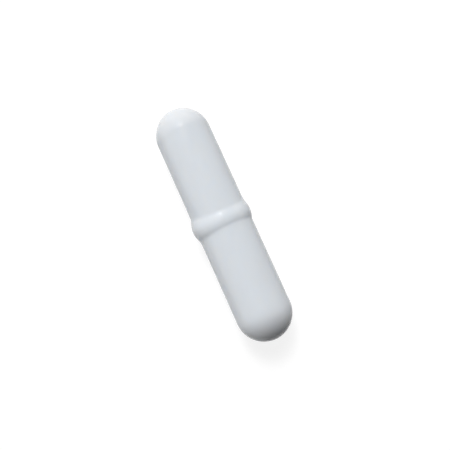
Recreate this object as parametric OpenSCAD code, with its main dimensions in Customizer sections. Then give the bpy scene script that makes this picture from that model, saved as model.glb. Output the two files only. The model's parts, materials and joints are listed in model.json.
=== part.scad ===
// Magnetic stir bar: a rod magnet sealed in a moulded PTFE jacket with domed ends and a pivot ring.
// The bar lies along X. The origin is the middle of the bar, on its axis, and the bar spins about Z.

/* [Jacket] */
// Length of the bar over its two domed tips
bar_length = 40; // [24:0.5:80]
// Diameter of the plain barrel on either side of the ring
barrel_d = 9; // [7:0.25:14]
// Thickness of the jacket over the side of the magnet
side_wall = 1.5; // [0.8:0.1:2.5]

/* [Pivot ring] */
// Height of the ring's crest above the barrel
ring_height = 0.55; // [0.2:0.05:0.7]
// Width of the ring over its two fillets
ring_width = 4.7; // [4.1:0.1:6.5]
// Radius of the hollow fillets that run the ring out into the barrel
fillet_r = 2.8; // [1:0.1:3]

/* [Magnet] */
// Distance that each end of the pocket stops short of the start of the dome
end_setback = 0.5; // [0:0.25:3]
// Bevel ground on the edges of the magnet's flat ends
magnet_bevel = 0.4; // [0.1:0.05:0.6]
// Gap left all round the magnet by the moulding
pocket_gap = 0.02; // [0.01:0.01:0.1]

/* [Hidden] */
$fn = 96;

barrel_r = barrel_d / 2;
// The domes are hemispheres, so each one starts a barrel radius in from its tip
dome_x = bar_length / 2 - barrel_r;
pocket_r = barrel_r - side_wall;
pocket_half = dome_x - end_setback;

// The crest's radius is the one that meets the barrel's fillets tangentially
fillet_x = ring_width / 2;
fillet_y = barrel_r + fillet_r;
crest_r = (fillet_x ^ 2 + ring_height ^ 2) / (2 * ring_height) - fillet_r;
crest_y = barrel_r + ring_height - crest_r;

// Turns a section round the bar's axis. It is drawn with X along the bar and Y outwards
module turned() {
    rotate([0, 90, 0])
        rotate_extrude()
            mirror([1, -1])
                children();
}

// The ring's section: a rounded crest that runs out on both sides in a hollow fillet
module ring_section() {
    translate([0, crest_y]) circle(r = crest_r);
    difference() {
        polygon([
            [-fillet_x, 0], [fillet_x, 0], [fillet_x, fillet_y], [0, crest_y], [-fillet_x, fillet_y]
        ]);
        for (side = [-1, 1])
            translate([side * fillet_x, fillet_y]) circle(r = fillet_r);
    }
}

// The outline of the moulding: straight barrel, hemispherical ends and the ring
module jacket_section() {
    intersection() {
        union() {
            for (side = [-1, 1])
                translate([side * dome_x, 0]) circle(r = barrel_r);
            translate([-dome_x, 0]) square([2 * dome_x, barrel_r]);
            ring_section();
        }
        translate([-bar_length, 0]) square([2 * bar_length, barrel_d]);
    }
}

// A rod with bevelled ends: the magnet, and the pocket that the jacket is moulded to round it
module bevelled_rod(radius, half_length) {
    turned()
        polygon([
            [-half_length, 0],
            [half_length, 0],
            [half_length, radius - magnet_bevel],
            [half_length - magnet_bevel, radius],
            [-half_length + magnet_bevel, radius],
            [-half_length, radius - magnet_bevel]
        ]);
}

module jacket() {
    color("whitesmoke")
        difference() {
            turned() jacket_section();
            bevelled_rod(pocket_r, pocket_half);
        }
}

module magnet() {
    color("dimgray")
        bevelled_rod(pocket_r - pocket_gap, pocket_half - pocket_gap);
}

jacket();
magnet();
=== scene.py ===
"""A magnetic stir bar: a rod magnet moulded into a white fluoropolymer jacket with a pivot ring."""

import json
from math import atan2, cos, pi, radians, sin, sqrt, tan

import bmesh
import bpy
from mathutils import Matrix, Vector


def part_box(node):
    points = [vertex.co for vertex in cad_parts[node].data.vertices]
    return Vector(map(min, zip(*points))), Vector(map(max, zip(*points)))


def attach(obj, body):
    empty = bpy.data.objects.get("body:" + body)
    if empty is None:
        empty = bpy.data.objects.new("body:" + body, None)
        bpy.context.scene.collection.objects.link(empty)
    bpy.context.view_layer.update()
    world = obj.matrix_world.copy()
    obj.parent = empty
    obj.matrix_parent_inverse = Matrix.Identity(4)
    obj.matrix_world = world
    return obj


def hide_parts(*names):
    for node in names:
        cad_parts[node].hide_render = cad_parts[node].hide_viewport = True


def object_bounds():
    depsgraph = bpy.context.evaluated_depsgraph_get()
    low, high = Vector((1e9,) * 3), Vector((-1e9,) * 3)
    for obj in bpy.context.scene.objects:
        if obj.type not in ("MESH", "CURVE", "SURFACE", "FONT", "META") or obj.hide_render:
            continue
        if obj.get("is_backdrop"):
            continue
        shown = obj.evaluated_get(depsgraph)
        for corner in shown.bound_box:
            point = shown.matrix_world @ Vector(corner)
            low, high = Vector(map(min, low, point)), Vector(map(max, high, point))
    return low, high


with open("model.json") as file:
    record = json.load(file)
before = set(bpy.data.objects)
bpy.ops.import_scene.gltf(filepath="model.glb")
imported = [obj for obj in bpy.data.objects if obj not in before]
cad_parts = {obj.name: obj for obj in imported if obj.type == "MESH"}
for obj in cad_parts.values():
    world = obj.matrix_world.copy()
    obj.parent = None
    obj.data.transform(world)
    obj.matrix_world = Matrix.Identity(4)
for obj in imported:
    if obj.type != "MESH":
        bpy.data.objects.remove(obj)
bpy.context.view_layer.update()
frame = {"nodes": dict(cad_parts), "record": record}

MM = 0.001

# ---- Sizes ------------------------------------------------------------------------------------

# The barrel, the domes and the magnet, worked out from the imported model
mounts = {mount["name"]: mount for mount in frame["record"]["mounts"]}
barrel = mounts["barrel_plus_x"]
BARREL_R = barrel["dims"]["r_mm"] * MM
BARREL_LENGTH = barrel["dims"]["length_mm"] * MM
DOME_X = barrel["pos_m"][0] + BARREL_LENGTH / 2
TIP_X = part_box("jacket")[1].x
magnet_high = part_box("magnet")[1]
MAGNET_HALF = magnet_high.x
MAGNET_R = magnet_high.z

# The ring's own section, and its place a little off the middle of the bar
RING_HEIGHT = 0.53 * MM
RING_HALF_WIDTH = 2.45 * MM
RING_FILLET = 2.3 * MM
RING_X = -0.41 * MM
# How much lower it is moulded on top and towards +Y. It is narrower where it is lower
LOWER_ON_TOP = 0.315 * MM
LOWER_SIDEWAYS = 0.07 * MM
# It leans to +X on top by a slope, its crest there lies still nearer to +X, and the barrel on either
# side takes the lean up over a run
RING_LEAN = 0.07
RING_SKEW = 0.14 * MM
SETTLING_RUN = 4 * MM

# The pocket is the magnet's form with the moulding gap round it, and has the magnet's bevel
POCKET_GAP = 0.02 * MM
POCKET_BEVEL = 0.4 * MM

# Fineness of the turned meshes
DOME_STEPS = 32
BARREL_STEPS = 24
FILLET_STEPS = 14
JACKET_SIDES = 192
POCKET_SIDES = 96
MERGE_DISTANCE = 0.0005 * MM

# The camera looks nearly straight down. Its lens is in millimetres
CAMERA_AZIMUTH = radians(65.8)
CAMERA_ELEVATION = radians(83.5)
CAMERA_DISTANCE = 83 * MM
CAMERA_LENS = 41.63
AIM_RIGHT = 0.33 * MM
AIM_DOWN = 0.385 * MM

# The studio. Past the shadow, the floor fades to plain white between two distances from the bar
SOFTBOX_DISTANCE = 1.0
FLOOR_REACH = 2
FADE_START = 0.05
FADE_END = 0.2
PURE_WHITE = (1, 1, 1, 1)


# ---- Mesh helpers -----------------------------------------------------------------------------

def arc(bm, vert, centre, angle, steps):
    """Draws an arc from vert about centre in the XZ plane and returns its last vertex."""
    made = bmesh.ops.spin(bm, geom=[vert], cent=centre, axis=(0, 1, 0), angle=angle, steps=steps,
                          use_merge=False, use_duplicate=False)
    return next(item for item in made["geom_last"] if isinstance(item, bmesh.types.BMVert))


def line(bm, vert, end, steps=1):
    """Draws a straight line from vert to end in equal steps and returns its last vertex."""
    step = (Vector(end) - vert.co) / steps
    for _ in range(steps):
        made = bmesh.ops.extrude_vert_indiv(bm, verts=[vert])
        vert = made["verts"][0]
        vert.co += step
    return vert


def revolve(bm, sides):
    """Turns the drawn outline once round the X axis and closes its poles."""
    bmesh.ops.spin(bm, geom=bm.verts[:] + bm.edges[:], cent=(0, 0, 0), axis=(1, 0, 0),
                   angle=2 * pi, steps=sides, use_merge=True, use_duplicate=False)
    bmesh.ops.remove_doubles(bm, verts=bm.verts, dist=MERGE_DISTANCE)
    bmesh.ops.dissolve_degenerate(bm, edges=bm.edges, dist=MERGE_DISTANCE)


def finished(bm, name, material):
    """Makes a smooth-shaded object of the bmesh, with its place in its mesh."""
    mesh = bpy.data.meshes.new(name)
    bm.to_mesh(mesh)
    bm.free()
    mesh.shade_smooth()
    mesh.materials.append(material)
    piece = bpy.data.objects.new(name, mesh)
    bpy.context.scene.collection.objects.link(piece)
    return piece


# ---- Jacket -----------------------------------------------------------------------------------

def draw_jacket_outline(bm):
    """Draws half of the jacket's section, from tip to tip: dome, barrel, ring, barrel, dome."""
    fillet_z = BARREL_R + RING_FILLET
    crest_r = (RING_HALF_WIDTH**2 + RING_HEIGHT**2) / (2 * RING_HEIGHT) - RING_FILLET
    crest_z = BARREL_R + RING_HEIGHT - crest_r
    flank = atan2(RING_HALF_WIDTH, fillet_z - crest_z)

    vert = bm.verts.new((-TIP_X, 0, 0))
    vert = arc(bm, vert, (-DOME_X, 0, 0), pi / 2, DOME_STEPS)
    vert = line(bm, vert, (RING_X - RING_HALF_WIDTH, 0, BARREL_R), BARREL_STEPS)
    vert = arc(bm, vert, (RING_X - RING_HALF_WIDTH, 0, fillet_z), -flank, FILLET_STEPS)
    vert = arc(bm, vert, (RING_X, 0, crest_z), 2 * flank, 2 * FILLET_STEPS)
    vert = arc(bm, vert, (RING_X + RING_HALF_WIDTH, 0, fillet_z), -flank, FILLET_STEPS)
    vert = line(bm, vert, (DOME_X, 0, BARREL_R), BARREL_STEPS)
    arc(bm, vert, (DOME_X, 0, 0), pi / 2, DOME_STEPS)


def settle_ring(bm):
    """Lowers and narrows the ring where it is moulded low, leans it and shifts its crest on top."""
    for vert in bm.verts:
        radius = vert.co.yz.length
        if radius < BARREL_R / 2:
            # The tips of the domes are far from the ring, and at their poles there is no side or top
            continue
        side = vert.co.y / radius
        top = vert.co.z / radius
        share = 1 - (LOWER_ON_TOP * ((1 + top) / 2) ** 2 + LOWER_SIDEWAYS * side) / RING_HEIGHT
        height = max(0, radius - BARREL_R)
        vert.co.yz *= (radius - height + height * share) / radius

        off_ring = vert.co.x - RING_X
        settled = min(1, max(0, 1 - (abs(off_ring) - RING_HALF_WIDTH) / SETTLING_RUN))
        vert.co.x += settled * (off_ring * (sqrt(share) - 1) + RING_LEAN * BARREL_R * top)
        vert.co.x += RING_SKEW * height / RING_HEIGHT * ((1 + top) / 2) ** 2


def draw_pocket_outline(bm):
    """Draws half of the pocket's section: the magnet's own form with the moulding gap round it."""
    half = MAGNET_HALF + POCKET_GAP
    radius = MAGNET_R + POCKET_GAP
    vert = bm.verts.new((-half, 0, 0))
    for x, z in ((-half, radius - POCKET_BEVEL), (-half + POCKET_BEVEL, radius),
                 (half - POCKET_BEVEL, radius), (half, radius - POCKET_BEVEL), (half, 0)):
        vert = line(bm, vert, (x, 0, z))


def make_jacket(material):
    """The moulding with its ring, and the sealed pocket, whose faces point in to the magnet."""
    pocket = bmesh.new()
    draw_pocket_outline(pocket)
    revolve(pocket, POCKET_SIDES)
    bmesh.ops.recalc_face_normals(pocket, faces=pocket.faces)
    bmesh.ops.reverse_faces(pocket, faces=pocket.faces)
    pocket_mesh = bpy.data.meshes.new("pocket")
    pocket.to_mesh(pocket_mesh)
    pocket.free()

    bm = bmesh.new()
    draw_jacket_outline(bm)
    revolve(bm, JACKET_SIDES)
    settle_ring(bm)
    bmesh.ops.recalc_face_normals(bm, faces=bm.faces)
    bm.from_mesh(pocket_mesh)
    bpy.data.meshes.remove(pocket_mesh)
    return finished(bm, "moulded_jacket", material)


# ---- Node helpers -----------------------------------------------------------------------------

def place(tree, kind, sockets=None, **settings):
    """Adds a shader node. Each socket is given a value, or another node's output to link from."""
    node = tree.nodes.new("ShaderNode" + kind)
    for name, value in settings.items():
        setattr(node, name, value)
    for name, value in (sockets or {}).items():
        if isinstance(value, bpy.types.NodeSocket):
            tree.links.new(value, node.inputs[name])
        else:
            node.inputs[name].default_value = value
    return node


def maths(tree, operation, a, b=0.0):
    return place(tree, "Math", {0: a, 1: b}, operation=operation).outputs[0]


def ramp(tree, value, start, end, low=0.0, high=1.0):
    """A smooth step from low to high as the value goes from start to end."""
    return place(tree, "MapRange", {"Value": value, "From Min": start, "From Max": end, "To Min": low,
                                    "To Max": high}, interpolation_type="SMOOTHSTEP").outputs[0]


def tint(tree, share, plain, changed):
    """The plain colour, changed by a share of the way to the other."""
    return place(tree, "Mix", {0: share, 6: plain, 7: changed}, data_type="RGBA").outputs[2]


def noise(tree, coords, size, detail=2.0):
    """Noise whose largest lumps are about the given size."""
    return place(tree, "TexNoise", {"Vector": coords, "Scale": 1 / size, "Detail": detail}).outputs[0]


def new_material(name):
    """Makes a material and returns it with its node tree and its Principled shader."""
    material = bpy.data.materials.new(name)
    material.use_nodes = True
    return material, material.node_tree, material.node_tree.nodes["Principled BSDF"]


# ---- Materials --------------------------------------------------------------------------------

def make_rub_marks():
    """A node group: sparse fine hairlines that run mostly one way, as handling leaves on a surface."""
    group = bpy.data.node_groups.new("rub_marks", "ShaderNodeTree")
    group.interface.new_socket("Coordinates", in_out="INPUT", socket_type="NodeSocketVector")
    group.interface.new_socket("Coverage", in_out="INPUT", socket_type="NodeSocketFloat")
    group.interface.new_socket("Marks", in_out="OUTPUT", socket_type="NodeSocketFloat")
    given = group.nodes.new("NodeGroupInput")
    out = group.nodes.new("NodeGroupOutput")

    layers = []
    for turn in ((0.3, 0.2, 0.6), (0.9, -0.5, -0.4)):
        turned = place(group, "Mapping", {"Vector": given.outputs["Coordinates"], "Rotation": turn,
                                          "Scale": (1, 14, 14)}).outputs[0]
        streaks = noise(group, turned, 2.2 * MM, detail=1.0)
        layers.append(ramp(group, streaks, 0.66, 0.72))
    both = maths(group, "MAXIMUM", layers[0], layers[1])
    patches = noise(group, given.outputs["Coordinates"], 5 * MM)
    limit = maths(group, "SUBTRACT", 1.0, given.outputs["Coverage"])
    worn = maths(group, "MULTIPLY", maths(group, "GREATER_THAN", patches, limit), both)
    group.links.new(worn, out.inputs["Marks"])
    return group


def fluoropolymer(rub_marks):
    """White moulded fluoropolymer: waxy, a little translucent, cooler over the magnet, its domes in
    painted shade.
    """
    over_magnet = (0.80, 0.84, 0.885, 1)
    # Painted shade: the domes past the magnet get a darker, less blue colour than the barrel
    painted_shade_on_ends = (0.735, 0.755, 0.78, 1)
    thick = (0.812, 0.852, 0.897, 1)
    clouded = (0.78, 0.80, 0.82, 1)

    material, tree, skin = new_material("white_fluoropolymer")
    coords = place(tree, "TexCoord").outputs["Object"]
    axes = place(tree, "SeparateXYZ", {0: coords}).outputs
    along = maths(tree, "ABSOLUTE", axes["X"])
    across = place(tree, "CombineXYZ", {"Y": axes["Y"], "Z": axes["Z"]}).outputs[0]
    off_axis = place(tree, "VectorMath", {0: across}, operation="LENGTH").outputs["Value"]

    past_magnet_shade = ramp(tree, along, MAGNET_HALF - 1.0 * MM, MAGNET_HALF + 3.5 * MM)
    in_ring = ramp(tree, off_axis, BARREL_R + 0.02 * MM, BARREL_R + 0.45 * MM)
    clouds = noise(tree, coords, 4.5 * MM, detail=3.0)
    # Towards both ends, past the magnet, the colour goes over to the painted shade of the domes
    colour = tint(tree, past_magnet_shade, over_magnet, painted_shade_on_ends)
    colour = tint(tree, in_ring, colour, thick)
    colour = tint(tree, ramp(tree, clouds, 0.35, 0.75, 0.0, 0.25), colour, clouded)

    grain = noise(tree, coords, 0.16 * MM, detail=1.0)
    marks = place(tree, "Group", {"Coordinates": coords, "Coverage": 0.45},
                  node_tree=rub_marks).outputs[0]
    rough = ramp(tree, clouds, 0.3, 0.7, 0.09, 0.11)
    rough = maths(tree, "ADD", rough, maths(tree, "MULTIPLY", grain, 0.03))
    rough = maths(tree, "ADD", rough, maths(tree, "MULTIPLY", marks, 0.03))

    waves = noise(tree, coords, 3.0 * MM, detail=1.0)
    relief = place(tree, "Bump", {"Height": waves, "Distance": 0.005 * MM, "Strength": 1.0})
    relief = place(tree, "Bump", {"Height": grain, "Distance": 0.0005 * MM, "Strength": 1.0,
                                  "Normal": relief.outputs[0]})
    relief = place(tree, "Bump", {"Height": marks, "Distance": 0.0003 * MM, "Strength": 1.0,
                                  "Normal": relief.outputs[0]}, invert=True)

    tree.links.new(colour, skin.inputs["Base Color"])
    tree.links.new(rough, skin.inputs["Roughness"])
    tree.links.new(relief.outputs[0], skin.inputs["Normal"])
    skin.inputs["IOR"].default_value = 1.33
    skin.inputs["Specular IOR Level"].default_value = 0.16
    skin.inputs["Subsurface Weight"].default_value = 1.0
    skin.inputs["Subsurface Radius"].default_value = (1.0, 0.95, 0.9)
    skin.inputs["Subsurface Scale"].default_value = 1.0 * MM
    return material


def magnet_alloy(rub_marks):
    """Cast magnet alloy, ground round: fine turns of the wheel, casting pits and a dull oxide."""
    ground = (0.36, 0.355, 0.35, 1)
    oxide = (0.23, 0.225, 0.225, 1)
    pit_grey = (0.10, 0.10, 0.10, 1)

    material, tree, metal = new_material("magnet_alloy")
    coords = place(tree, "TexCoord").outputs["Object"]
    turns = place(tree, "TexWave", {"Vector": coords, "Scale": 0.6 / MM, "Distortion": 3.0, "Detail": 2.0,
                                    "Detail Scale": 2.0}, bands_direction="X").outputs["Fac"]
    stain = noise(tree, coords, 3.0 * MM, detail=4.0)
    pits = ramp(tree, noise(tree, coords, 0.35 * MM, detail=2.0), 0.68, 0.74)
    marks = place(tree, "Group", {"Coordinates": coords, "Coverage": 0.6},
                  node_tree=rub_marks).outputs[0]

    colour = tint(tree, ramp(tree, stain, 0.4, 0.7), ground, oxide)
    colour = tint(tree, pits, colour, pit_grey)
    rough = ramp(tree, stain, 0.3, 0.7, 0.36, 0.52)
    rough = maths(tree, "ADD", rough, maths(tree, "MULTIPLY", turns, 0.06))
    rough = maths(tree, "SUBTRACT", rough, maths(tree, "MULTIPLY", marks, 0.08))
    relief = place(tree, "Bump", {"Height": turns, "Distance": 0.002 * MM, "Strength": 1.0})
    relief = place(tree, "Bump", {"Height": pits, "Distance": 0.03 * MM, "Strength": 1.0,
                                  "Normal": relief.outputs[0]}, invert=True)
    tree.links.new(colour, metal.inputs["Base Color"])
    tree.links.new(rough, metal.inputs["Roughness"])
    tree.links.new(relief.outputs[0], metal.inputs["Normal"])
    metal.inputs["Metallic"].default_value = 1
    return material


# ---- Scene ------------------------------------------------------------------------------------

def seen_directly(tree):
    """One for camera, glossy and transmission rays, and nought for the rest."""
    path = place(tree, "LightPath").outputs
    seen = maths(tree, "MAXIMUM", path["Is Camera Ray"], path["Is Glossy Ray"])
    return maths(tree, "MAXIMUM", seen, path["Is Transmission Ray"])


def floor_paint():
    """A white floor that keeps a faint shadow round the bar and throws some light back up."""
    shadow_grey = (0.24, 0.24, 0.24, 1)
    bounce_grey = (0.35, 0.35, 0.35, 1)

    material = bpy.data.materials.new("pale_floor")
    material.use_nodes = True
    tree = material.node_tree
    tree.nodes.clear()
    lit = place(tree, "BsdfDiffuse", {"Color": shadow_grey}).outputs[0]
    glow = place(tree, "Emission", {"Color": PURE_WHITE, "Strength": 0.84}).outputs[0]
    near = place(tree, "AddShader", {0: lit, 1: glow}).outputs[0]
    far = place(tree, "Emission", {"Color": PURE_WHITE, "Strength": 1.0}).outputs[0]
    coords = place(tree, "TexCoord").outputs["Object"]
    distance = place(tree, "VectorMath", {0: coords}, operation="LENGTH").outputs["Value"]
    faded = ramp(tree, distance, FADE_START, FADE_END)
    white = place(tree, "MixShader", {0: faded, 1: near, 2: far}).outputs[0]
    bounce = place(tree, "BsdfDiffuse", {"Color": bounce_grey}).outputs[0]
    shown = place(tree, "MixShader", {0: seen_directly(tree), 1: bounce, 2: white}).outputs[0]
    place(tree, "OutputMaterial", {"Surface": shown})
    return material


def make_floor(height):
    """Lays the floor at a height, under the bar."""
    bm = bmesh.new()
    bmesh.ops.create_grid(bm, x_segments=1, y_segments=1, size=FLOOR_REACH)
    bmesh.ops.translate(bm, verts=bm.verts, vec=(0, 0, height))
    floor = finished(bm, "floor", floor_paint())
    floor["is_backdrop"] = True


def make_world():
    """White to the eye and in reflections, and dim as a light."""
    world = bpy.data.worlds.new("world")
    world.use_nodes = True
    tree = world.node_tree
    tree.nodes.clear()
    dim = place(tree, "Background", {"Color": PURE_WHITE, "Strength": 0.02}).outputs[0]
    white = place(tree, "Background", {"Color": PURE_WHITE, "Strength": 1.0}).outputs[0]
    shown = place(tree, "MixShader", {0: seen_directly(tree), 1: dim, 2: white}).outputs[0]
    place(tree, "OutputWorld", {"Surface": shown})
    bpy.context.scene.world = world


def direction(azimuth, elevation):
    """The unit vector towards an azimuth, from +X round towards +Y, and an elevation."""
    level = cos(radians(elevation))
    return Vector((level * cos(radians(azimuth)), level * sin(radians(azimuth)), sin(radians(elevation))))


def make_softbox(name, azimuth, elevation, width, power):
    """A round lamp that lights the bar from a direction. Angles are in degrees, seen from the bar."""
    lamp = bpy.data.lights.new(name, "AREA")
    lamp.shape = "DISK"
    lamp.size = 2 * SOFTBOX_DISTANCE * tan(radians(width / 2))
    lamp.energy = power
    towards = direction(azimuth, elevation)
    softbox = bpy.data.objects.new(name, lamp)
    softbox.location = SOFTBOX_DISTANCE * towards
    softbox.rotation_euler = towards.to_track_quat("Z", "Y").to_euler()
    bpy.context.scene.collection.objects.link(softbox)


def make_camera():
    """Looks down on the bar so that its -X end is up and its +X end is down in the view."""
    level = cos(CAMERA_ELEVATION)
    back = Vector((sin(CAMERA_AZIMUTH) * level, -cos(CAMERA_AZIMUTH) * level, sin(CAMERA_ELEVATION)))
    right = Vector((cos(CAMERA_AZIMUTH), sin(CAMERA_AZIMUTH), 0))
    up = back.cross(right)
    target = AIM_RIGHT * right - AIM_DOWN * up
    camera = bpy.data.objects.new("camera", bpy.data.cameras.new("camera"))
    camera.data.lens = CAMERA_LENS
    camera.data.clip_start = 1 * MM
    camera.matrix_world = Matrix((right, up, back)).transposed().to_4x4()
    camera.location = target + CAMERA_DISTANCE * back
    bpy.context.scene.collection.objects.link(camera)
    bpy.context.scene.camera = camera


# ---- The bar and its studio -------------------------------------------------------------------

rub_marks = make_rub_marks()
white = fluoropolymer(rub_marks)
alloy = magnet_alloy(rub_marks)
jacket = make_jacket(white)
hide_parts("jacket")
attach(jacket, "root")
magnet = frame["nodes"]["magnet"]
magnet.data.materials.clear()
magnet.data.materials.append(alloy)

make_camera()
make_world()
make_floor(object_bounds()[0].z)

# The key light comes from the bar's -X end. The small lamp in front of it leaves a bright spot on the
# dome and another on the ring. The two low softboxes light the bar's sides
make_softbox("key_softbox", azimuth=174, elevation=53, width=36, power=6.8)
make_softbox("top_lamp", azimuth=177, elevation=56, width=12, power=2.85)
make_softbox("right_softbox", azimuth=129, elevation=5, width=60, power=3.35)
make_softbox("left_softbox", azimuth=261, elevation=5.5, width=50, power=4.5)

bpy.context.scene.view_settings.view_transform = "Standard"
